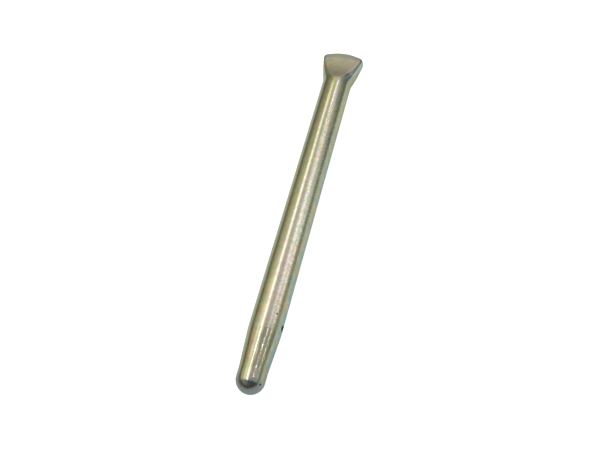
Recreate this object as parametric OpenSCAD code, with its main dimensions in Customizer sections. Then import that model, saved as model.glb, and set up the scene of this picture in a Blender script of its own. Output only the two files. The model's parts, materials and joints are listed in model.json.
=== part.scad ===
// Clevis pin with a fish-tail head.
//
// One bar of steel, headed and pointed cold. The bar keeps its round section over most of
// its length. One end is squeezed between two round dies, so it thins and spreads into a
// fish-tail that stops the pin in its clevis. The other end steps down through a long lead
// taper to a short pilot with a ball nose. A split-pin hole is drilled across the bar, in
// line with the spread of the head.
//
// The pin lies on its shank: the nose points along -Y and the head along +Y, the wide way
// of the head is along X, and Z = 0 is the surface that the shank lies on.

/* [Shank] */
// Length from the tip of the nose to the crown of the head
overall_length = 125; // [80:1:200]
// Diameter of the shank, a clearance fit in a 10 mm clevis
shank_d = 10; // [9.5:0.1:10.5]

/* [Nose] */
// Diameter of the pilot and of its ball nose
pilot_d = 8.5; // [7:0.1:9]
// Length from the tip to the end of the plain pilot
pilot_length = 7; // [5:0.5:10]
// Length of the lead taper, from the pilot up to the full shank
taper_length = 11.5; // [6:0.5:16]

/* [Fish-tail head] */
// Width across the spread of the head, at its widest
head_width = 14.4; // [13.6:0.1:15.2]
// Thickness of the head at its end, between the two pressed faces
head_thickness = 4.3; // [3:0.1:5.5]
// Length of the head, from where the bar starts to spread to its crown
head_length = 12.3; // [11.5:0.1:14]
// Angle between each flank and the bar's side, where the flank leaves it, in degrees
flank_angle = 16.5; // [15.5:0.5:18]
// Radius of the hollow between the bar's side and each flank
neck_r = 8; // [4:1:12]
// Radius of the convex end, seen square to the pressed faces
crown_r = 17; // [14:0.5:22]
// Radius of the corners between the flanks and the end
corner_r = 1.1; // [0.8:0.1:1.6]
// Radius of the two dies that press the faces
die_r = 33; // [28:1:40]

/* [Split-pin hole] */
// Diameter of the hole
hole_d = 1.6; // [1.2:0.1:2.5]
// Distance from the tip of the nose to the middle of the hole
hole_from_tip = 20.5; // [20:0.5:40]

/* [Hidden] */
$fn = 180;

// How far a cutting tool reaches past what it cuts
overcut = 2;
zinc_yellow = [0.72, 0.69, 0.5];

// The half section is drawn as [radius, height above the tip of the nose].
shank_r = shank_d / 2;
pilot_r = pilot_d / 2;
taper_end = pilot_length + taper_length;
spread_start = overall_length - head_length;

// Direction from one point to another, in degrees from the radius towards the head
function bearing(from, to) = atan2(to.y - from.y, to.x - from.x);

// Points along an arc about c, from one bearing to another
function arc(c, r, from, to, steps) = [
    for (i = [0:steps])
        let (a = from + (to - from) * i / steps)
        c + r * [cos(a), sin(a)]
];

// The crown is an arc about the pin's own axis.
crown_c = [0, overall_length - crown_r];
// The corner arc touches the crown from inside and reaches half the head's width.
corner_x = head_width / 2 - corner_r;
corner_c = [corner_x, crown_c.y + sqrt((crown_r - corner_r) ^ 2 - corner_x ^ 2)];
crown_bearing = bearing(crown_c, corner_c);

// Each flank is one long convex arc. It would leave the bar's side at flank_angle and it
// touches the corner arc from outside, which settles its radius.
flank_foot = [shank_r, spread_start];
foot_run = flank_foot - corner_c;
foot_lean = corner_r - foot_run.x * cos(flank_angle) + foot_run.y * sin(flank_angle);
flank_r = (corner_r ^ 2 - foot_run * foot_run) / (2 * foot_lean);
flank_c = flank_foot + flank_r * [-cos(flank_angle), sin(flank_angle)];
flank_bearing = bearing(flank_c, corner_c);

// The hollow blends the bar's side into the flank and touches both.
neck_rise = sqrt((flank_r + neck_r) ^ 2 - (shank_r + neck_r - flank_c.x) ^ 2);
neck_c = [shank_r + neck_r, flank_c.y - neck_rise];
neck_bearing = bearing(flank_c, neck_c);

// Half section of the bar after heading and pointing, before the faces are pressed.
module half_section() {
    nose = arc([0, pilot_r], pilot_r, -90, 0, 16);
    lead = [[pilot_r, pilot_length], [shank_r, taper_end]];
    hollow = arc(neck_c, neck_r, 180, 180 + neck_bearing, 6);
    flank = arc(flank_c, flank_r, neck_bearing, flank_bearing, 8);
    corner = arc(corner_c, corner_r, flank_bearing, crown_bearing, 8);
    crown = arc(crown_c, crown_r, crown_bearing, 90, 10);
    polygon(concat(nose, lead, hollow, flank, corner, crown));
}

// The two round dies that thin the head. Each is lowest level with the crown.
module dies() {
    for (side = [-1, 1])
        translate([0, side * (head_thickness / 2 + die_r), overall_length])
            rotate([0, 90, 0])
                cylinder(r = die_r, h = head_width + 2 * overcut, center = true);
}

// Drill for the split-pin hole, across the bar.
module cross_drill() {
    translate([0, 0, hole_from_tip])
        rotate([0, 90, 0])
            cylinder(d = hole_d, h = shank_d + 2 * overcut, center = true);
}

// The whole pin, laid down on its shank.
module pin() {
    color(zinc_yellow)
        translate([0, -overall_length / 2, shank_r])
            rotate([-90, 0, 0])
                difference() {
                    rotate_extrude() half_section();
                    dies();
                    cross_drill();
                }
}

pin();
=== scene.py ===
"""Dresses the clevis pin's CAD frame: one turned and pressed bar in yellow-passivated zinc.

Lengths are in metres and lie along the frame's axes: the nose points along -Y. A turn is the angle
round the bar, 0 along its top and growing towards its right side, +X.
"""

import json
import math

import bpy
from bpy.props import FloatProperty, FloatVectorProperty, IntProperty, PointerProperty
from mathutils import Euler, Matrix, Vector


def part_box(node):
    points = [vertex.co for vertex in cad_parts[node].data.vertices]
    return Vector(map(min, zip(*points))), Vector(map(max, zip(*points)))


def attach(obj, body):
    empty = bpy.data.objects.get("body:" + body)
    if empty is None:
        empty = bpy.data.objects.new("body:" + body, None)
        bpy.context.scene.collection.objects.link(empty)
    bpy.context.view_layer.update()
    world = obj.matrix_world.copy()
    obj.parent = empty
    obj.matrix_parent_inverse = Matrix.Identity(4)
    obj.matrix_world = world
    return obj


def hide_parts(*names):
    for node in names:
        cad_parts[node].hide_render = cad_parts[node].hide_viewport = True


bl_info = {
    "name": "Clevis Pin",
    "version": (1, 0, 0),
    "blender": (4, 5, 0),
    "location": "View3D > Sidebar > Pin",
    "description": "Builds a fish-tail clevis pin, its zinc finish and a small studio",
    "category": "Object",
}

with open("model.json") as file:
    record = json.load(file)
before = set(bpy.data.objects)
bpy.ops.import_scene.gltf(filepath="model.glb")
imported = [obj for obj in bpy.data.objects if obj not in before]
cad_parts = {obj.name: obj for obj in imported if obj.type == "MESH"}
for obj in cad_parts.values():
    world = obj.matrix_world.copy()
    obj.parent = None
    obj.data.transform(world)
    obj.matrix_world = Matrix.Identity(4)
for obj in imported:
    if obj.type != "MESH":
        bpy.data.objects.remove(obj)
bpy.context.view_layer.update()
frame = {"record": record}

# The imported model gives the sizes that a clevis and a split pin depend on.
LOW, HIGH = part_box("pin")
SHANK_RADIUS = (HIGH.z - LOW.z) / 2
HEAD_WIDTH = HIGH.x - LOW.x
HOLE = next(m for m in frame["record"]["mounts"] if m["name"] == "split_pin_hole")
HOLE_RADIUS = HOLE["dims"]["r_mm"] / 1000
HOLE_PLACE = HOLE["pos_m"][1]

MM = 0.001
DEG = math.radians(1)
PRESSED = "pressed"  # mesh attribute: 1 on the pressed faces
EDGE = "rubbed_edge"  # mesh attribute: 1 along the rounded edges of the head's flanks
# The crown's mark places painted shade along the crown's rounded edge.
CROWN_SHADE_MARK = "crown_edge"  # mesh attribute: 1 along the crown


# ---------------------------------------------------------------- properties


def length_property(name, description, default, top=0.2):
    """A size in metres, shown in the scene's own units."""
    return FloatProperty(
        name=name,
        description=description,
        default=default,
        min=0,
        max=top,
        unit="LENGTH",
        precision=5,
    )


def angle_property(name, description, default, low=-180 * DEG, high=180 * DEG):
    """An angle in radians, shown in degrees."""
    return FloatProperty(
        name=name, description=description, default=default, min=low, max=high, subtype="ANGLE"
    )


def share_property(name, description, default):
    """A value from 0 to 1."""
    return FloatProperty(name=name, description=description, default=default, min=0, max=1)


def colour_property(name, description, default):
    """A plain surface colour."""
    return FloatVectorProperty(
        name=name, description=description, default=default, size=3, min=0, max=1, subtype="COLOR"
    )


class PinSizes(bpy.types.PropertyGroup):
    """Sizes of the bar, its nose and its head."""

    pilot_radius: length_property("Pilot radius", "Radius of pilot and ball nose", 4.25 * MM)
    pilot_length: length_property("Pilot length", "From the tip to the end of the pilot", 7 * MM)
    taper_length: length_property("Taper length", "From the pilot up to the shank", 11.5 * MM)
    shoulder: length_property("Shoulder", "Small step between taper and shank", 0.008 * MM)
    head_thickness: length_property("Head thickness", "Between the pressed faces' ends", 4.3 * MM)
    head_length: length_property("Head length", "From where the bar spreads", 12.3 * MM)
    flank_angle: angle_property(
        "Flank angle", "Angle at which each flank leaves the bar", 16.5 * DEG, 10 * DEG, 25 * DEG
    )
    neck_radius: length_property("Neck radius", "Hollow between the bar and a flank", 8 * MM)
    crown_radius: length_property("Crown radius", "Convex end of the head", 17 * MM)
    corner_radius: length_property("Corner radius", "Corners of the head", 1.1 * MM)
    die_radius: length_property("Die radius", "Round dies that press the faces", 33 * MM)
    edge_rounding: length_property("Edge rounding", "Softness of the edge by the bar", 0.8 * MM)
    side_rounding: length_property("Side rounding", "Softness of the edges at the flanks", 2.7 * MM)
    crown_rounding: length_property("Crown rounding", "Radius of the crown's edges", 0.35 * MM)
    ring_spacing: length_property("Ring spacing", "Spacing of the mesh along the head", 0.2 * MM)
    sides: IntProperty(
        name="Sides", description="Mesh faces round the bar", default=224, min=48, max=256
    )


class PinFinish(bpy.types.PropertyGroup):
    """Colours and gloss of the zinc plate and its passivate film, and painted shade along the
    head's edges and in the mouths of the hole.
    """

    gold: colour_property("Gold", "Most of the film", (0.75, 0.69, 0.38))
    green: colour_property("Green", "Film that leans to green", (0.63, 0.71, 0.41))
    rose: colour_property("Rose", "Spots of film that turn pink", (0.82, 0.61, 0.42))
    silver: colour_property("Silver", "Spots where the film is thin", (0.7, 0.67, 0.48))
    plain: colour_property("Plain", "Even film where the pin is handled", (0.75, 0.68, 0.51))
    fresh: colour_property("Fresh", "Even film further along the pin", (0.715, 0.7, 0.5))
    aged: colour_property("Aged", "Even film towards the head", (0.73, 0.69, 0.44))
    honey: colour_property("Honey", "Film along the top, next to the head", (0.76, 0.7, 0.33))
    # A darker tint on the head's right flank.
    right_flank_tint: colour_property("Formed", "Film on the head's right flank", (0.55, 0.56, 0.35))
    crown: colour_property("Crown", "Film along the crown's edge", (0.43, 0.46, 0.36))
    # Crown: painted shade along the crown's rounded edge.
    cool: colour_property("Cool", "Film where the top turns to the side", (0.6, 0.67, 0.42))
    bare: colour_property("Bare", "Worn zinc at the tip", (0.5, 0.58, 0.59))
    rubbed: colour_property("Rubbed", "Zinc along the head's rounded edges", (0.6, 0.71, 0.66))
    teal: colour_property("Teal", "Film on the pin's right side", (0.46, 0.66, 0.58))
    stain: colour_property("Stain", "One blue-grey stain along the bar", (0.4, 0.5, 0.52))
    # Painted shade: a dark patch on the rounded edge by the head's right flank.
    painted_edge_shade: colour_property("Smear", "Dull smear by the head's right edge", (0.17, 0.21, 0.2))
    # Soot: the dirt of the pits, and painted shade in the mouths of the hole.
    soot_and_shade: colour_property("Soot", "Dirt in the pits and in the hole", (0.04, 0.035, 0.025))
    edge_tint: colour_property("Edge tint", "Tint of grazing reflections", (0.75, 0.86, 0.84))
    film_roughness: share_property("Film roughness", "Roughness of the film", 0.21)
    grain_roughness: share_property("Grain roughness", "That of its dullest grains", 0.33)
    satin: share_property("Satin", "Roughness that pressing adds", 0.14)
    polish: share_property("Polish", "Roughness that drawing and rubbing take away", 0.12)
    dirt_and_shade_roughness: share_property("Dirt roughness", "Roughness of the dirt", 0.8)


class PinStage(bpy.types.PropertyGroup):
    """Camera, floor and light."""

    azimuth: angle_property("Azimuth", "Camera bearing from -Y", 23.395 * DEG)
    elevation: angle_property("Elevation", "Camera height angle", 60.504 * DEG)
    roll: angle_property("Roll", "Camera turn about its view", -10.319 * DEG)
    distance: length_property("Distance", "From the camera to what it looks at", 215.76 * MM, top=2)
    aim: FloatVectorProperty(
        name="Aim",
        description="Point that the camera looks at",
        default=(1.3 * MM, -7.49 * MM, SHANK_RADIUS),
        size=3,
        subtype="TRANSLATION",
        precision=5,
    )
    lens: FloatProperty(
        name="Lens", description="Focal length in mm", default=41.33, min=10, max=200
    )
    floor_colour: colour_property("Floor", "Pale floor", (0.8, 0.8, 0.8))
    floor_size: length_property("Floor size", "Side of the square floor", 280 * MM, top=5)
    floor_white: share_property("Floor white", "White that the floor adds in view", 0.93)
    backdrop: share_property("Backdrop", "White of the background", 1.0)
    mirrored_floor: share_property("Mirrored floor", "Floor's white that metal mirrors", 0.25)
    mirrored_white: share_property("Mirrored white", "Backdrop's white that metal mirrors", 0.04)


# ------------------------------------------------------------- node helpers


class Graph:
    """Adds nodes to a node tree and wires each one as it is made."""

    def __init__(self, tree):
        self.tree = tree

    def add(self, kind, inputs=None, **settings):
        """A node of this kind; inputs maps a socket's name or index to a value or a socket."""
        node = self.tree.nodes.new(kind)
        for key, value in settings.items():
            setattr(node, key, value)
        for key, value in (inputs or {}).items():
            self.feed(node.inputs[key], value)
        return node

    def feed(self, socket, value):
        """Links a socket to another, or sets its plain value. A colour of three parts is opaque."""
        if isinstance(value, bpy.types.NodeSocket):
            self.tree.links.new(value, socket)
        elif socket.type == "RGBA" and len(value) == 3:
            socket.default_value = (*value, 1)
        else:
            socket.default_value = value

    def math(self, operation, *values, clamp=False):
        """The result of a Math node on these values."""
        inputs = dict(enumerate(values))
        return self.add("ShaderNodeMath", inputs, operation=operation, use_clamp=clamp).outputs[0]

    def total(self, *values):
        """The sum of these values."""
        result = values[0]
        for value in values[1:]:
            result = self.math("ADD", result, value)
        return result

    def product(self, *values):
        """The product of these values."""
        result = values[0]
        for value in values[1:]:
            result = self.math("MULTIPLY", result, value)
        return result

    def rest(self, value):
        """What value leaves of 1."""
        return self.math("SUBTRACT", 1.0, value)

    def off(self, value, middle):
        """How far value is from middle."""
        return self.math("ABSOLUTE", self.math("SUBTRACT", value, middle))

    def sag(self, radius, reach):
        """How far an arc of this radius drops, at this reach from its middle."""
        squares = [self.math("POWER", value, 2.0) for value in (radius, reach)]
        return self.math("SUBTRACT", radius, self.math("SQRT", self.math("SUBTRACT", *squares)))

    def line(self, value, low, high, start=0.0, end=1.0, ease="LINEAR"):
        """value taken from [low, high] to [start, end], and held beyond them."""
        inputs = {"Value": value, "From Min": low, "From Max": high, "To Min": start, "To Max": end}
        return self.add("ShaderNodeMapRange", inputs, interpolation_type=ease).outputs["Result"]

    def ramp(self, value, low, high, start=0.0, end=1.0):
        """value taken smoothly from [low, high] to [start, end]."""
        return self.line(value, low, high, start, end, ease="SMOOTHSTEP")

    def mix(self, factor, a, b, blend="MIX"):
        """Colour a turned into colour b by factor."""
        node = self.add("ShaderNodeMix", data_type="RGBA", blend_type=blend)
        for label, value in (("Factor", factor), ("A", a), ("B", b)):
            sockets = [entry for entry in node.inputs if entry.name == label and entry.enabled]
            self.feed(sockets[0], value)
        return next(entry for entry in node.outputs if entry.enabled)

    def multiplied(self, a, b):
        """Colour a with each of its parts multiplied by that of b."""
        return self.mix(1.0, a, b, blend="MULTIPLY")

    def split(self, vector):
        """The X, Y and Z of a vector."""
        node = self.add("ShaderNodeSeparateXYZ", {"Vector": vector})
        return node.outputs["X"], node.outputs["Y"], node.outputs["Z"]

    def join(self, x, y, z):
        """A vector from X, Y and Z."""
        return self.add("ShaderNodeCombineXYZ", {"X": x, "Y": y, "Z": z}).outputs["Vector"]

    def distance(self, a, b):
        """The distance between two points."""
        return self.add("ShaderNodeVectorMath", {0: a, 1: b}, operation="DISTANCE").outputs["Value"]

    def noise(self, vector, scale, seed, detail=2.0, roughness=0.5):
        """Noise from 0 to 1 at this scale."""
        inputs = {"Vector": vector, "W": seed, "Scale": scale}
        inputs.update({"Detail": detail, "Roughness": roughness})
        return self.add("ShaderNodeTexNoise", inputs, noise_dimensions="4D").outputs["Fac"]

    def mask(self, name):
        """A mask that the mesh carries."""
        return self.add("ShaderNodeAttribute", attribute_name=name).outputs["Fac"]

    def place_group(self, tree, inputs):
        """A node group placed in a material, with these values. Returns its outputs."""
        return self.add("ShaderNodeGroup", inputs, node_tree=tree).outputs


def node_group(kind, name, inputs, outputs):
    """An empty node group with sockets of these kinds; returns its graph and its two ends."""
    tree = bpy.data.node_groups.new(name, kind)
    for way, sockets in (("INPUT", inputs), ("OUTPUT", outputs)):
        for label, socket in sockets.items():
            tree.interface.new_socket(label, in_out=way, socket_type=f"NodeSocket{socket}")
    graph = Graph(tree)
    return graph, graph.add("NodeGroupInput").outputs, graph.add("NodeGroupOutput").inputs


# ------------------------------------------------------------ the bar's form


DRILL_SIDES = 48
JOIN_DISTANCE = 1e-6  # points of the rings' seam that are closer become one
CREASE = 35 * DEG  # edges that bend more stay sharp
MARK_BLUR = 0.15 * MM  # how far the mark of the pressed faces spreads over their edges


def bearing(start, end):
    """Direction from one point of the half section to another."""
    return math.atan2(end[1] - start[1], end[0] - start[0])


def arc(centre, radius, start, end, spacing):
    """Points along an arc, from one bearing to another."""
    steps = max(4, math.ceil(abs(end - start) * radius / spacing))
    turns = [start + (end - start) * i / steps for i in range(steps + 1)]
    return [(centre[0] + radius * math.cos(a), centre[1] + radius * math.sin(a)) for a in turns]


def straight(start, end, spacing):
    """Points along a straight side, from one point to another."""
    steps = max(1, math.ceil(math.dist(start, end) / spacing))
    return [tuple(s + (e - s) * i / steps for s, e in zip(start, end)) for i in range(steps + 1)]


def half_section(size):
    """The headed and pointed bar as (radius, place along the pin), from the tip to the crown."""
    pilot, shank, fine = size.pilot_radius, SHANK_RADIUS, size.ring_spacing
    tip, crown_end = LOW.y, HIGH.y
    pilot_end = tip + size.pilot_length
    taper_end = pilot_end + size.taper_length
    shoulder = (shank - size.shoulder, taper_end - fine / 2)

    crown_c = (0.0, crown_end - size.crown_radius)
    corner_x = HEAD_WIDTH / 2 - size.corner_radius
    corner_rise = math.sqrt((size.crown_radius - size.corner_radius) ** 2 - corner_x**2)
    corner_c = (corner_x, crown_c[1] + corner_rise)

    # The flank leaves the bar at flank_angle and touches the corner arc.
    cos_a, sin_a = math.cos(size.flank_angle), math.sin(size.flank_angle)
    foot = (shank, crown_end - size.head_length)
    run = (foot[0] - corner_c[0], foot[1] - corner_c[1])
    lean = size.corner_radius - run[0] * cos_a + run[1] * sin_a
    flank_r = (size.corner_radius**2 - run[0] ** 2 - run[1] ** 2) / (2 * lean)
    flank_c = (foot[0] - flank_r * cos_a, foot[1] + flank_r * sin_a)

    # The neck's hollow touches the bar's side and the flank.
    neck_x = shank + size.neck_radius
    neck_rise = math.sqrt((flank_r + size.neck_radius) ** 2 - (neck_x - flank_c[0]) ** 2)
    neck_c = (neck_x, flank_c[1] - neck_rise)

    # Rings are close where the form bends, and wide apart along the taper and the shank.
    neck_turn = bearing(flank_c, neck_c)
    flank_turn = bearing(flank_c, corner_c)
    crown_turn = bearing(crown_c, corner_c)
    runs = [
        arc((0.0, tip + pilot), pilot, -math.pi / 2, 0, fine),
        straight((pilot, tip + pilot), (pilot, pilot_end), 2 * fine),
        straight((pilot, pilot_end), shoulder, 4 * fine),
        straight(shoulder, (shank, taper_end), fine),
        straight((shank, taper_end), (shank, neck_c[1]), 8 * fine),
        arc(neck_c, size.neck_radius, math.pi, math.pi + neck_turn, fine),
        arc(flank_c, flank_r, neck_turn, flank_turn, fine),
        arc(corner_c, size.corner_radius, flank_turn, crown_turn, fine / 2),
        arc(crown_c, size.crown_radius, crown_turn, math.pi / 2, fine),
    ]
    return runs[0] + [point for run in runs[1:] for point in run[1:]]


def turned_rings(g, given):
    """A grid, and where the turned half section has its points: across, along and up."""
    # The grid has one row for each point of the half section and one column for each side.
    section = {"Geometry": given["Half Section"]}
    rows = g.add("GeometryNodeAttributeDomainSize", section, component="MESH")
    columns = g.math("ADD", given["Sides"], 1.0)
    counts = {"Vertices X": rows.outputs["Point Count"], "Vertices Y": columns}
    grid = g.add("GeometryNodeMeshGrid", counts).outputs["Mesh"]
    index = g.add("GeometryNodeInputIndex").outputs["Index"]
    row = g.math("FLOOR", g.math("DIVIDE", g.math("ADD", index, 0.5), columns))
    column = g.math("SUBTRACT", index, g.product(row, columns))
    sample = g.add("GeometryNodeSampleIndex", section, data_type="FLOAT_VECTOR")
    g.feed(sample.inputs["Value"], g.add("GeometryNodeInputPosition").outputs["Position"])
    g.feed(sample.inputs["Index"], row)
    radius, along, _ = g.split(sample.outputs["Value"])

    # Each row becomes a ring.
    turn = g.product(g.math("DIVIDE", column, given["Sides"]), math.tau)
    across = g.product(radius, g.math("SINE", turn))
    height = g.product(radius, g.math("COSINE", turn))
    return grid, across, along, height


def pressed_head(g, given, across, along, height):
    """The height that the dies leave, where they stop, and the distance from the crown."""
    # A die stops at half the head's thickness, and further out towards the bar.
    reach = g.math("MINIMUM", g.math("SUBTRACT", given["Head End"], along), given["Die Radius"])
    half = g.product(given["Head Thickness"], 0.5)
    stop = g.total(half, g.sag(given["Die Radius"], reach))

    # The edges along the crown are rounded by a quarter of a circle.
    crown = g.math("SUBTRACT", given["Head End"], g.sag(given["Crown Radius"], across))
    from_crown = g.math("SUBTRACT", crown, along)
    inward = g.math("DIVIDE", from_crown, given["Crown Rounding"])
    over = g.math("SUBTRACT", 1.0, inward, clamp=True)
    stop = g.math("SUBTRACT", stop, g.product(g.sag(1.0, over), given["Crown Rounding"]))

    # The other edges are soft, most of all at the flanks, and a little less on the left.
    by_side = g.product(given["Side Rounding"], g.line(across, -1 * MM, 1 * MM, 0.7, 1.0))
    beside = g.math("ABSOLUTE", across)
    softness = g.ramp(beside, 1.5 * MM, 4.5 * MM, given["Edge Rounding"], by_side)
    held = g.math("SMOOTH_MIN", g.math("ABSOLUTE", height), stop, softness)
    return g.product(g.math("SIGN", height), held), stop, from_crown


def wear_and_shade_marks(g, across, height, stop, from_crown):
    """The masks that the finish reads from the mesh."""
    height_off = g.math("ABSOLUTE", height)
    above_stop = g.math("DIVIDE", g.math("SUBTRACT", height_off, stop), MARK_BLUR)
    pressed = g.math("ADD", above_stop, 0.5, clamp=True)

    # The edges of the right flank are rubbed, those of the left one only a little.
    # The same mask also bounds the painted shade by the head's right edge.
    near_edge = g.line(g.off(height_off, stop), 0.9 * MM, 2.2 * MM, 1.0, 0.0)
    right = g.ramp(across, 1.5 * MM, 3.2 * MM)
    left = g.ramp(across, -2 * MM, -4 * MM, 0.0, 0.15)
    rubbed = g.product(near_edge, g.math("MAXIMUM", right, left))

    # Painted shade along the crown's rounded edge, strongest next to the edge.
    near_crown = g.ramp(from_crown, 1.2 * MM, 3 * MM, 1.0, 0.0)
    crown = g.product(near_crown, g.line(height_off, 1.3 * MM, 1.9 * MM, 0.15, 1.0))
    return {PRESSED: pressed, EDGE: rubbed, CROWN_SHADE_MARK: crown}


def drilled(g, given, bar):
    """The bar with a hole across it."""
    size = {"Vertices": DRILL_SIDES, "Radius": given["Hole Radius"]}
    drill = g.add("GeometryNodeMeshCylinder", size)
    g.feed(drill.inputs["Depth"], g.product(given["Axis Height"], 3.0))
    put = g.add("GeometryNodeTransform", {"Geometry": drill.outputs["Mesh"]})
    g.feed(put.inputs["Translation"], g.join(0.0, given["Hole Place"], given["Axis Height"]))
    g.feed(put.inputs["Rotation"], Euler((0, math.pi / 2, 0)))
    solids = {"Mesh 1": bar, "Mesh 2": put.outputs["Geometry"]}
    cut = g.add("GeometryNodeMeshBoolean", solids, operation="DIFFERENCE", solver="EXACT")
    return cut.outputs["Mesh"]


def turned_and_pressed_tree():
    """Geometry Nodes: turns a half section about the pin's axis, presses the head and drills it."""
    inputs = {
        "Half Section": "Geometry",
        "Sides": "Int",
        "Axis Height": "Float",
        "Head End": "Float",
        "Head Thickness": "Float",
        "Die Radius": "Float",
        "Edge Rounding": "Float",
        "Side Rounding": "Float",
        "Crown Radius": "Float",
        "Crown Rounding": "Float",
        "Hole Radius": "Float",
        "Hole Place": "Float",
        "Finish": "Material",
    }
    outputs = {"Pin": "Geometry"}
    g, given, out = node_group("GeometryNodeTree", "turned_and_pressed", inputs, outputs)

    bar, across, along, height = turned_rings(g, given)
    pressed, stop, from_crown = pressed_head(g, given, across, along, height)
    place = g.join(across, along, g.math("ADD", pressed, given["Axis Height"]))
    placed = g.add("GeometryNodeSetPosition", {"Geometry": bar, "Position": place})
    bar = placed.outputs["Geometry"]
    for label, value in wear_and_shade_marks(g, across, height, stop, from_crown).items():
        mark = {"Geometry": bar, "Name": label, "Value": value}
        kept = g.add("GeometryNodeStoreNamedAttribute", mark, data_type="FLOAT", domain="POINT")
        bar = kept.outputs["Geometry"]
    closed = g.add("GeometryNodeMergeByDistance", {"Geometry": bar, "Distance": JOIN_DISTANCE})
    bar = drilled(g, given, closed.outputs["Geometry"])

    # Every face is smooth, apart from the rim of the hole.
    smooth = g.add("GeometryNodeSetShadeSmooth", {"Geometry": bar}, domain="FACE")
    bend = g.add("GeometryNodeInputMeshEdgeAngle").outputs["Unsigned Angle"]
    gentle = g.add("FunctionNodeCompare", {"A": bend, "B": CREASE}, operation="LESS_THAN")
    edges = {"Geometry": smooth.outputs["Geometry"], "Shade Smooth": gentle.outputs["Result"]}
    creased = g.add("GeometryNodeSetShadeSmooth", edges, domain="EDGE")
    real = g.add("GeometryNodeRealizeInstances", {"Geometry": creased.outputs["Geometry"]})
    finish = {"Geometry": real.outputs["Geometry"], "Material": given["Finish"]}
    painted = g.add("GeometryNodeSetMaterial", finish)
    g.feed(out["Pin"], painted.outputs["Geometry"])
    return g.tree


def grown_mesh(name, source, tree, values):
    """A plain mesh object: source as the tree changes it with these named values."""
    modifier = source.modifiers.new("form", "NODES")
    modifier.node_group = tree
    for item in tree.interface.items_tree:
        if item.in_out == "INPUT" and item.name in values:
            modifier[item.identifier] = values[item.name]
    bpy.context.view_layer.update()
    seen = source.evaluated_get(bpy.context.evaluated_depsgraph_get())
    mesh = bpy.data.meshes.new_from_object(seen)
    mesh.name = name
    source.modifiers.remove(modifier)
    bpy.data.objects.remove(source)
    piece = bpy.data.objects.new(name, mesh)
    bpy.context.scene.collection.objects.link(piece)
    return piece


def section_object(points):
    """The half section as a chain of edges, for Geometry Nodes to turn."""
    mesh = bpy.data.meshes.new("half_section")
    edges = [(i, i + 1) for i in range(len(points) - 1)]
    mesh.from_pydata([(r, y, 0.0) for r, y in points], edges, [])
    chain = bpy.data.objects.new("half_section", mesh)
    bpy.context.scene.collection.objects.link(chain)
    return chain


# ---------------------------------------------------------------- the finish


# Sizes of the grain, as noise per metre, and heights of the relief, in millimetres.
FILM_GRAIN, SATIN_GRAIN = 4400.0, 2200.0
FILM_HEIGHT, SATIN_HEIGHT, LINE_HEIGHT, DIRT_HEIGHT = 0.0125, 0.02, 0.06, -0.05

# Dirt pits: the bar's radius there, the distance from the tip, the turn and the pit's radius.
PITS = (
    (SHANK_RADIUS, 23.4 * MM, 37 * DEG, 0.22 * MM),
    (4.1 * MM, 2.9 * MM, 60 * DEG, 0.32 * MM),
)


def film_group():
    """Tints of the passivate film, in spots a few millimetres across."""
    tints = ("Gold", "Green", "Rose", "Silver", "Plain", "Teal")
    inputs = {"Vector": "Vector"}
    inputs.update({label: "Color" for label in tints})
    inputs.update({label: "Float" for label in ("Side", "Rosy", "Calm")})
    outputs = {"Colour": "Color"}
    g, given, out = node_group("ShaderNodeTree", "passivate_film", inputs, outputs)
    at, side = given["Vector"], given["Side"]

    golden = g.ramp(g.noise(at, 380.0, 1.0, detail=1.0), 0.42, 0.58)
    tone = g.mix(golden, given["Green"], given["Gold"])
    spots = g.total(g.noise(at, 420.0, 2.0, detail=1.0), g.product(given["Rosy"], 0.1))
    tone = g.mix(g.ramp(spots, 0.49, 0.64), tone, given["Rose"])
    thin = g.ramp(g.noise(at, 320.0, 3.0, detail=1.0), 0.49, 0.64, 0.0, 0.8)
    tone = g.mix(thin, tone, given["Silver"])
    tone = g.mix(given["Calm"], tone, given["Plain"])

    # The right side turns teal in ragged patches.
    ragged = g.noise(at, 190.0, 4.0, detail=3.0, roughness=0.65)
    ragged = g.math("SUBTRACT", ragged, g.product(side, 0.08))
    tone = g.mix(g.product(side, g.ramp(ragged, 0.52, 0.4)), tone, given["Teal"])

    # The film is deeper in places, and finely speckled.
    depth = g.ramp(g.noise(at, 520.0, 5.0), 0.3, 0.7, 0.86, 1.0)
    tone = g.multiplied(tone, g.join(depth, depth, depth))
    red = g.line(g.noise(at, 900.0, 6.0), 0.3, 0.7, 0.94, 1.06)
    blue = g.line(g.noise(at, 900.0, 7.0), 0.3, 0.7, 0.84, 1.16)
    g.feed(out["Colour"], g.multiplied(tone, g.join(red, 1.0, blue)))
    return g.tree


def grain_group():
    """Fine grain of plated metal: its height in millimetres, and a mask of duller grains."""
    inputs = {"Vector": "Vector", "Scale": "Float", "Depth": "Float"}
    outputs = {"Height": "Float", "Dull": "Float"}
    g, given, out = node_group("ShaderNodeTree", "plated_grain", inputs, outputs)
    fine = g.noise(given["Vector"], given["Scale"], 1.0)
    broad = g.noise(given["Vector"], g.product(given["Scale"], 0.35), 2.0)
    height = g.math("SUBTRACT", g.total(fine, g.product(broad, 0.7)), 0.85)
    g.feed(out["Height"], g.product(height, given["Depth"]))
    g.feed(out["Dull"], g.ramp(broad, 0.4, 0.65))
    return g.tree


def drawn_lines_group():
    """Long lines that a die leaves along the taper: their height in millimetres."""
    inputs = {"Vector": "Vector", "Turn": "Float", "Depth": "Float"}
    outputs = {"Height": "Float"}
    g, given, out = node_group("ShaderNodeTree", "drawn_lines", inputs, outputs)
    _, y, _ = g.split(given["Vector"])
    stretched = g.join(g.product(given["Turn"], SHANK_RADIUS), g.product(y, 0.04), 0.0)
    broad = g.noise(stretched, 800.0, 1.0, detail=1.0)
    fine = g.noise(stretched, 2600.0, 2.0)
    height = g.math("SUBTRACT", g.total(broad, g.product(fine, 0.6)), 0.8)
    g.feed(out["Height"], g.product(height, given["Depth"]))
    return g.tree


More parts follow.
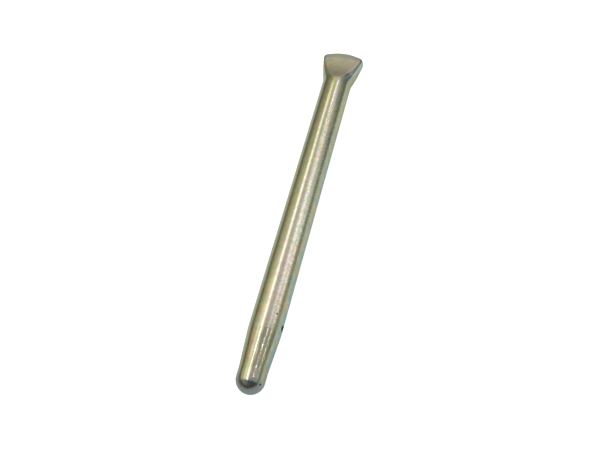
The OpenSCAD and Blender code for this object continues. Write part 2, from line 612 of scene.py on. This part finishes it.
def pit_group():
    """A small round pit: a mask with a ragged edge."""
    inputs = {"Vector": "Vector", "Centre": "Vector", "Radius": "Float"}
    g, given, out = node_group("ShaderNodeTree", "pit", inputs, {"Mask": "Float"})
    away = g.distance(given["Vector"], given["Centre"])
    ragged = g.product(away, g.line(g.noise(given["Vector"], 4000.0, 1.0), 0.3, 0.7, 0.7, 1.3))
    g.feed(out["Mask"], g.ramp(g.math("DIVIDE", ragged, given["Radius"]), 1.3, 0.6))
    return g.tree


def on_surface(radius, from_tip, turn):
    """A point of the pin's surface, from its radius, its distance from the tip and its turn."""
    across, up = radius * math.sin(turn), radius * math.cos(turn)
    return Vector((across, LOW.y + from_tip, SHANK_RADIUS + up))


class Places:
    """Where a point lies on the pin, and the masks that several parts of the finish share."""

    def __init__(self, g, size):
        self.at = g.add("ShaderNodeTexCoord").outputs["Object"]
        self.x, self.y, self.z = g.split(self.at)
        self.turn = g.math("ARCTAN2", self.x, g.math("SUBTRACT", self.z, SHANK_RADIUS))
        self.pressed = g.mask(PRESSED)
        self.unpressed = g.rest(self.pressed)
        self.rubbed = g.mask(EDGE)
        self.crown_shade_mask = g.mask(CROWN_SHADE_MARK)
        taper_end = LOW.y + size.pilot_length + size.taper_length
        self.drawn = g.ramp(self.y, taper_end + 0.2 * MM, taper_end - 0.2 * MM)
        # What belongs to one side fades out before it meets the other along the underside.
        self.sided = g.ramp(g.math("ABSOLUTE", self.turn), 160 * DEG, 115 * DEG)


def dirt_and_shade_mask(g, pin):
    """Dirt in two small pits, and painted shade in the mouths of the hole."""
    # The painted shade of the hole is centred a little over the hole's axis.
    middle = Vector((0.0, HOLE_PLACE, SHANK_RADIUS + 0.35 * MM))
    off_hole = g.distance(g.join(0.0, pin.y, pin.z), middle)
    dirt_and_shade = g.ramp(off_hole, HOLE_RADIUS + 0.4 * MM, HOLE_RADIUS + 0.1 * MM)
    group = pit_group()
    for radius, from_tip, turn, pit_radius in PITS:
        centre = on_surface(radius, from_tip, turn)
        inputs = {"Vector": pin.at, "Centre": centre, "Radius": pit_radius}
        dirt_and_shade = g.math("MAXIMUM", dirt_and_shade, g.place_group(group, inputs)["Mask"])
    return dirt_and_shade


def spotted_film(g, pin, finish, warm):
    """The film's spots, calm along the top and teal on the right side."""
    # The right side starts higher towards the head. Its teal fades past the nose and on the head.
    side_start = g.line(pin.y, -22 * MM, -5 * MM, 42 * DEG, 26 * DEG)
    round_right = g.ramp(pin.turn, side_start, 78 * DEG)
    past_nose = g.line(pin.y, -30 * MM, -14 * MM, 1.0, 0.65)
    to_head = g.line(pin.y, 38 * MM, 48 * MM, 1.0, 0.3)

    # Along the top the spots are calmed by an even tint, which changes along the bar.
    along_top = g.ramp(g.off(pin.turn, 18 * DEG), 24 * DEG, 38 * DEG, 0.6, 0.0)
    further = g.mix(g.ramp(pin.y, 0.0, 20 * MM), finish.fresh, finish.aged)

    inputs = {
        "Vector": pin.at,
        "Side": g.product(round_right, pin.sided, pin.unpressed, past_nose, to_head),
        "Rosy": pin.pressed,
        "Calm": g.product(along_top, g.ramp(pin.y, 44 * MM, 34 * MM)),
        "Gold": finish.gold,
        "Green": finish.green,
        "Rose": finish.rose,
        "Silver": finish.silver,
        "Teal": finish.teal,
        "Plain": g.mix(warm, further, finish.plain),
    }
    return g.place_group(film_group(), inputs)["Colour"]


def film_colour(g, pin, finish):
    """The film's colour, with the tints, the stain, the wear and the painted shade of single places
    over its spots.
    """
    y, turn = pin.y, pin.turn
    # The film is warmest along the stretch that follows the taper.
    warm = g.product(g.ramp(y, -46 * MM, -40 * MM), g.ramp(y, -12 * MM, -20 * MM))
    film = spotted_film(g, pin, finish, warm)

    # It leans to green on the left. It is cool where the top turns to the right side, and golden
    # there along the warm stretch.
    left = g.product(g.ramp(turn, -36 * DEG, -55 * DEG, 0.0, 0.6), pin.sided, pin.unpressed)
    right = g.product(g.ramp(turn, 24 * DEG, 40 * DEG), g.ramp(turn, 66 * DEG, 52 * DEG))
    right = g.product(right, pin.unpressed, g.line(warm, 0.0, 1.0, 0.8, 0.5))
    golden = g.product(warm, g.ramp(turn, 56 * DEG, 40 * DEG))
    layers = [(left, finish.green), (right, g.mix(golden, finish.cool, finish.gold))]

    # Two stripes of other tints run along the top, next to the head.
    by_head = g.ramp(y, 32 * MM, 40 * MM)
    for middle, tint, share in ((-5 * DEG, finish.honey, 0.8), (14 * DEG, finish.plain, 0.6)):
        band = g.ramp(g.off(turn, middle), 5 * DEG, 11 * DEG, share, 0.0)
        layers.append((g.product(by_head, band, pin.unpressed), tint))

    # The stain is long: its way along the pin counts for less than its way round it.
    across_stain = g.product(g.math("SUBTRACT", turn, 43 * DEG), SHANK_RADIUS)
    along_stain = g.product(g.math("SUBTRACT", y, 24 * MM), 0.13)
    off_stain = g.distance(g.join(across_stain, along_stain, 0.0), Vector())
    # The head's right flank takes a darker tint.
    flank = g.product(g.ramp(y, 44 * MM, 50 * MM, 0.0, 0.85), g.ramp(turn, 48 * DEG, 62 * DEG))
    # Painted shade darkens the rubbed edge next to the head's right flank.
    off_painted_edge_shade = g.distance(g.join(pin.x, y, 0.0), Vector((3.8 * MM, HIGH.y - 11.1 * MM, 0.0)))
    layers += [
        (g.ramp(off_stain, 0.7 * MM, 0.25 * MM, 0.0, 0.8), finish.stain),
        (g.product(flank, pin.sided, pin.unpressed), finish.right_flank_tint),
        (g.product(pin.rubbed, 0.8), finish.rubbed),
        # Painted shade along the crown's edge.
        (pin.crown_shade_mask, finish.crown),
        (g.product(g.ramp(off_painted_edge_shade, 1.8 * MM, 0.4 * MM, 0.0, 0.66), pin.rubbed), finish.painted_edge_shade),
        (g.ramp(y, LOW.y + 5.5 * MM, LOW.y + 2 * MM, 0.0, 0.75), finish.bare),
    ]
    for share, tint in layers:
        film = g.mix(share, film, tint)
    return film


def yellow_zinc(finish, size):
    """The pin's one finish: semi-bright zinc under a yellow passivate film."""
    material = bpy.data.materials.new("yellow_zinc")
    material.use_nodes = True
    g = Graph(material.node_tree)
    shader = material.node_tree.nodes["Principled BSDF"]
    pin = Places(g, size)
    # Dirt in the pits and painted shade in the hole's mouths turn the film to soot.
    dirt_and_shade = dirt_and_shade_mask(g, pin)
    film = film_colour(g, pin, finish)
    g.feed(shader.inputs["Base Color"], g.mix(dirt_and_shade, film, finish.soot_and_shade))
    g.feed(shader.inputs["Specular Tint"], finish.edge_tint)
    g.feed(shader.inputs["Metallic"], g.rest(g.product(dirt_and_shade, 0.8)))

    # The grain is coarse on the right, and fine on the left and next to the head.
    coarse = g.product(g.ramp(pin.turn, -2 * DEG, 18 * DEG), pin.sided)
    coarse = g.line(coarse, 0.0, 1.0, 0.24, 1.0)
    coarse = g.product(coarse, g.ramp(pin.y, 47 * MM, 28 * MM, 0.3, 1.0))
    group = grain_group()
    grain_inputs = {"Vector": pin.at, "Scale": FILM_GRAIN, "Depth": FILM_HEIGHT}
    satin_inputs = {"Vector": pin.at, "Scale": SATIN_GRAIN, "Depth": SATIN_HEIGHT}
    line_inputs = {"Vector": pin.at, "Turn": pin.turn, "Depth": LINE_HEIGHT}
    grain, satin = g.place_group(group, grain_inputs), g.place_group(group, satin_inputs)
    lines = g.place_group(drawn_lines_group(), line_inputs)

    # Gloss: pressed faces are satin, and drawn or rubbed metal is polished.
    dull = g.product(grain["Dull"], coarse)
    rough = g.line(dull, 0.0, 1.0, finish.film_roughness, finish.grain_roughness)
    dulled = g.product(g.math("SUBTRACT", pin.pressed, pin.rubbed, clamp=True), finish.satin)
    polished = g.product(g.math("MAXIMUM", pin.drawn, pin.rubbed), -finish.polish)
    rough = g.total(rough, dulled, polished)
    by_dirt_and_shade = g.product(dirt_and_shade, finish.dirt_and_shade_roughness)
    g.feed(shader.inputs["Roughness"], g.math("MAXIMUM", rough, by_dirt_and_shade))

    # Relief: each part of the pin has its own grain, and the dirt and the painted shade of the hole
    # lie deeper.
    worked = g.math("MAXIMUM", g.product(pin.drawn, 0.95), pin.rubbed)
    plain = g.rest(g.math("MAXIMUM", pin.pressed, worked))
    height = g.total(
        g.product(grain["Height"], g.product(coarse, plain)),
        g.product(satin["Height"], pin.pressed),
        g.product(lines["Height"], g.product(pin.drawn, pin.sided)),
        g.product(dirt_and_shade, DIRT_HEIGHT),
    )
    bump = g.add("ShaderNodeBump", {"Height": height, "Strength": 1.0, "Distance": MM})
    g.feed(shader.inputs["Normal"], bump.outputs["Normal"])
    return material


# ----------------------------------------------------------------- the stage


# Tints of the lamps, and of the tent on its left, near and far, and on its right.
COOL_LIGHT, PALE_LIGHT, WARM_LIGHT = (1.0, 0.98, 1.32), (1.06, 0.98, 1.12), (1.1, 1.0, 0.8)
TENT_LEFT_NEAR, TENT_LEFT_FAR, TENT_RIGHT = (1.04, 1, 0.8), (0.97, 1, 0.84), (1.02, 1, 1.08)
WHITE = (1, 1, 1)

# The lamps, in metres: name, near end, far end, width, radiance and tint.
LAMPS = (
    ("near_strip", (-0.11, -0.31, 0.6), (-0.16, 0.12, 0.6), 0.085, 1.4, PALE_LIGHT),
    ("left_strip", (-0.175, 0.12, 0.6), (-0.25, 0.56, 0.6), 0.15, 1.06, COOL_LIGHT),
    ("right_strip", (0.47, 0.255, 0.6), (0.26, 0.45, 0.6), 0.25, 0.85, COOL_LIGHT),
    ("far_strip", (0.17, 0.42, 0.6), (0.14, 0.56, 0.6), 0.12, 0.78, COOL_LIGHT),
    ("side_strip", (0.86, 0.28, 0.55), (0.82, 0.54, 0.55), 0.3, 0.75, COOL_LIGHT),
    ("left_glow", (-0.37, -0.3, 0.6), (-0.41, 0.27, 0.6), 0.26, 0.32, COOL_LIGHT),
    ("outer_line", (0.785, 0.06, 0.55), (0.785, 0.15, 0.55), 0.035, 1.9, WARM_LIGHT),
    ("inner_line", (0.31, 0.05, 0.6), (0.31, 0.095, 0.6), 0.035, 3.6, COOL_LIGHT),
    ("neck_glint", (0.16, 0.505, 0.6), (0.16, 0.555, 0.6), 0.05, 3.8, COOL_LIGHT),
)
POWER_PER_RADIANCE = 4  # a lamp's radiance is a quarter of its power for each unit of area
SENSOR_WIDTH = 36  # mm
NEAREST = 10 * MM


def seen_and_mirrored(g):
    """Masks of the rays that come straight from the camera, and of those that metal sends on."""
    path = g.add("ShaderNodeLightPath").outputs
    mirrored = g.math("MAXIMUM", path["Is Glossy Ray"], path["Is Transmission Ray"])
    return path["Is Camera Ray"], mirrored


def floor_material(stage):
    """Pale floor that shows plain white where nothing shades it."""
    material = bpy.data.materials.new("pale_floor")
    material.use_nodes = True
    g = Graph(material.node_tree)
    nodes = material.node_tree.nodes
    shader = nodes["Principled BSDF"]
    # Painted shade: the floor is darker on the left and next to the nose, where the pin mirrors it,
    # in its colour and in the white that metal mirrors.
    x, y, _ = g.split(g.add("ShaderNodeTexCoord").outputs["Object"])
    by_left = g.line(x, -90 * MM, -10 * MM, 0.3, 1.0)
    shade = g.product(by_left, g.line(y, -75 * MM, -40 * MM, 0.55, 1.0))
    pale = g.multiplied(stage.floor_colour, g.join(shade, shade, shade))
    g.feed(shader.inputs["Base Color"], pale)
    shader.inputs["Roughness"].default_value = 0.9
    shader.inputs["Specular IOR Level"].default_value = 0.0
    camera, mirrored = seen_and_mirrored(g)
    seen = g.product(camera, stage.floor_white * stage.backdrop)
    glow = g.math("MAXIMUM", seen, g.product(mirrored, g.product(shade, stage.mirrored_floor)))
    white = g.add("ShaderNodeEmission", {"Color": WHITE, "Strength": glow})
    both = g.add("ShaderNodeAddShader", {0: shader.outputs["BSDF"], 1: white.outputs["Emission"]})
    g.feed(nodes["Material Output"].inputs["Surface"], both.outputs["Shader"])
    return material


def make_floor(stage):
    """A small flat floor under the pin."""
    half = stage.floor_size / 2
    corners = [(-half, -half, 0), (half, -half, 0), (half, half, 0), (-half, half, 0)]
    mesh = bpy.data.meshes.new("floor")
    mesh.from_pydata(corners, [], [(0, 1, 2, 3)])
    mesh.materials.append(floor_material(stage))
    floor = bpy.data.objects.new("floor", mesh)
    bpy.context.scene.collection.objects.link(floor)


def tent_strength(g, x, y, z):
    """How bright the tent of light is towards a direction."""
    # Its wall is dim low down and pale overhead.
    dim_to = g.product(g.line(y, 0.14, 0.3, 0.24, 0.0), g.line(x, -0.1, 0.1, 1.0, 0.4))
    wall = g.total(g.line(z, dim_to, 0.55, 0.07, 0.54), g.ramp(x, 0.6, 0.95, 0.0, 0.06))

    # It darkens towards the nose's end and the near right, and in the corners behind the head.
    near = g.ramp(y, -0.48, -0.18, g.line(x, -0.5, 0.1, 0.42, 0.14), 1.0)
    near_right = g.product(g.ramp(x, -0.12, 0.06), g.ramp(y, 0.42, 0.2, 0.0, 0.44))
    far = g.total(g.line(y, 0.25, 0.62, 1.1, 0.9), g.ramp(y, 0.63, 0.7, 0.0, 0.25))
    far_left = g.product(g.ramp(x, -0.22, -0.45), g.ramp(y, 0.56, 0.68, 0.0, 0.62))
    slanted = g.total(y, g.product(x, 0.25))
    far_right = g.product(g.ramp(x, 0.02, 0.25), g.ramp(slanted, 0.62, 0.8, 0.0, 0.52))
    far_corners = g.math("MAXIMUM", far_left, far_right)
    light = g.product(wall, g.product(near, far), g.rest(near_right), g.rest(far_corners))

    # Low down on the near half lies an added band of light.
    low = g.product(g.ramp(z, 0.24, 0.0), g.ramp(y, 0.32, 0.15))
    return g.total(light, g.product(low, g.line(x, -0.2, 0.5, 0.12, 0.3)))


def make_world(stage):
    """A soft tent of light, warmer on the left, behind the white that the camera sees."""
    world = bpy.data.worlds.new("light_tent")
    bpy.context.scene.world = world
    world.use_nodes = True
    g = Graph(world.node_tree)
    nodes = world.node_tree.nodes
    x, y, z = g.split(g.add("ShaderNodeTexCoord").outputs["Generated"])
    left_tint = g.mix(g.ramp(y, 0.33, 0.5), TENT_LEFT_NEAR, TENT_LEFT_FAR)
    tent = nodes["Background"]
    g.feed(tent.inputs["Strength"], tent_strength(g, x, y, z))
    g.feed(tent.inputs["Color"], g.mix(g.ramp(x, -0.4, 0.1), left_tint, TENT_RIGHT))
    white = g.add("ShaderNodeBackground", {"Color": WHITE, "Strength": stage.backdrop})
    camera, mirrored = seen_and_mirrored(g)
    shown = g.math("MAXIMUM", camera, g.product(mirrored, stage.mirrored_white))
    shaders = {0: shown, 1: tent.outputs["Background"], 2: white.outputs["Background"]}
    blend = g.add("ShaderNodeMixShader", shaders)
    g.feed(nodes["World Output"].inputs["Surface"], blend.outputs["Shader"])


def strip_lamp(name, near, far, width, radiance, tint):
    """A long soft lamp from near to far, turned to the pin."""
    near, far = Vector(near), Vector(far)
    place, reach = (near + far) / 2, far - near
    lamp = bpy.data.lights.new(name, "AREA")
    lamp.shape = "RECTANGLE"
    lamp.size, lamp.size_y = width, reach.length
    lamp.energy = POWER_PER_RADIANCE * radiance * width * reach.length
    lamp.color = tint
    long_way = reach.normalized()
    away = (place - place.dot(long_way) * long_way).normalized()
    turn = Matrix((long_way.cross(away), long_way, away)).transposed().to_4x4()
    holder = bpy.data.objects.new(name, lamp)
    holder.matrix_world = Matrix.Translation(place) @ turn
    bpy.context.scene.collection.objects.link(holder)


def make_camera(stage):
    """A hand-held camera over the nose end, looking along the pin."""
    azimuth, elevation, roll = stage.azimuth, stage.elevation, stage.roll
    level_back = Vector((math.sin(azimuth), -math.cos(azimuth), 0))
    back = level_back * math.cos(elevation) + Vector((0, 0, math.sin(elevation)))
    level = Vector((0, 0, 1)).cross(back).normalized()
    upright = back.cross(level)
    right = level * math.cos(roll) + upright * math.sin(roll)
    up = upright * math.cos(roll) - level * math.sin(roll)
    lens = bpy.data.cameras.new("camera")
    lens.lens = stage.lens
    lens.sensor_width = SENSOR_WIDTH
    lens.clip_start = NEAREST
    camera = bpy.data.objects.new("camera", lens)
    turn = Matrix((right, up, back)).transposed().to_4x4()
    camera.matrix_world = Matrix.Translation(Vector(stage.aim) + back * stage.distance) @ turn
    bpy.context.scene.collection.objects.link(camera)
    bpy.context.scene.camera = camera


# ---------------------------------------------------------------- operators


class CLEVISPIN_OT_pin(bpy.types.Operator):
    """Build the pin from its half section, its dies and its drill"""

    bl_idname = "clevispin.pin"
    bl_label = "Build pin"

    def execute(self, context):
        size, finish = context.scene.clevis_pin_sizes, context.scene.clevis_pin_finish
        values = {
            "Sides": size.sides,
            "Axis Height": SHANK_RADIUS,
            "Head End": HIGH.y,
            "Head Thickness": size.head_thickness,
            "Die Radius": size.die_radius,
            "Edge Rounding": size.edge_rounding,
            "Side Rounding": size.side_rounding,
            "Crown Radius": size.crown_radius,
            "Crown Rounding": size.crown_rounding,
            "Hole Radius": HOLE_RADIUS,
            "Hole Place": HOLE_PLACE,
            "Finish": yellow_zinc(finish, size),
        }
        chain = section_object(half_section(size))
        pin = grown_mesh("zinc_plated_pin", chain, turned_and_pressed_tree(), values)
        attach(pin, "root")
        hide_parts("pin")
        return {"FINISHED"}


class CLEVISPIN_OT_stage(bpy.types.Operator):
    """Set the floor, the light and the camera"""

    bl_idname = "clevispin.stage"
    bl_label = "Set stage"

    def execute(self, context):
        stage = context.scene.clevis_pin_stage
        context.scene.view_settings.view_transform = "Standard"
        make_camera(stage)
        make_floor(stage)
        make_world(stage)
        for lamp in LAMPS:
            strip_lamp(*lamp)
        return {"FINISHED"}


class CLEVISPIN_PT_panel(bpy.types.Panel):
    """Lists the steps that build the pin and its stage"""

    bl_label = "Clevis pin"
    bl_idname = "CLEVISPIN_PT_panel"
    bl_space_type = "VIEW_3D"
    bl_region_type = "UI"
    bl_category = "Pin"

    def draw(self, context):
        for step in STEPS:
            self.layout.operator(step.bl_idname)


STEPS = (CLEVISPIN_OT_pin, CLEVISPIN_OT_stage)
GROUPS = (
    ("clevis_pin_sizes", PinSizes),
    ("clevis_pin_finish", PinFinish),
    ("clevis_pin_stage", PinStage),
)


def register():
    for _, group in GROUPS:
        bpy.utils.register_class(group)
    for name, group in GROUPS:
        setattr(bpy.types.Scene, name, PointerProperty(type=group))
    for step in (*STEPS, CLEVISPIN_PT_panel):
        bpy.utils.register_class(step)


def unregister():
    for step in (CLEVISPIN_PT_panel, *reversed(STEPS)):
        bpy.utils.unregister_class(step)
    for name, group in reversed(GROUPS):
        delattr(bpy.types.Scene, name)
        bpy.utils.unregister_class(group)


def main():
    """Registers the add-on and runs its steps."""
    register()
    bpy.ops.clevispin.pin()
    bpy.ops.clevispin.stage()


if __name__ == "__main__":
    main()
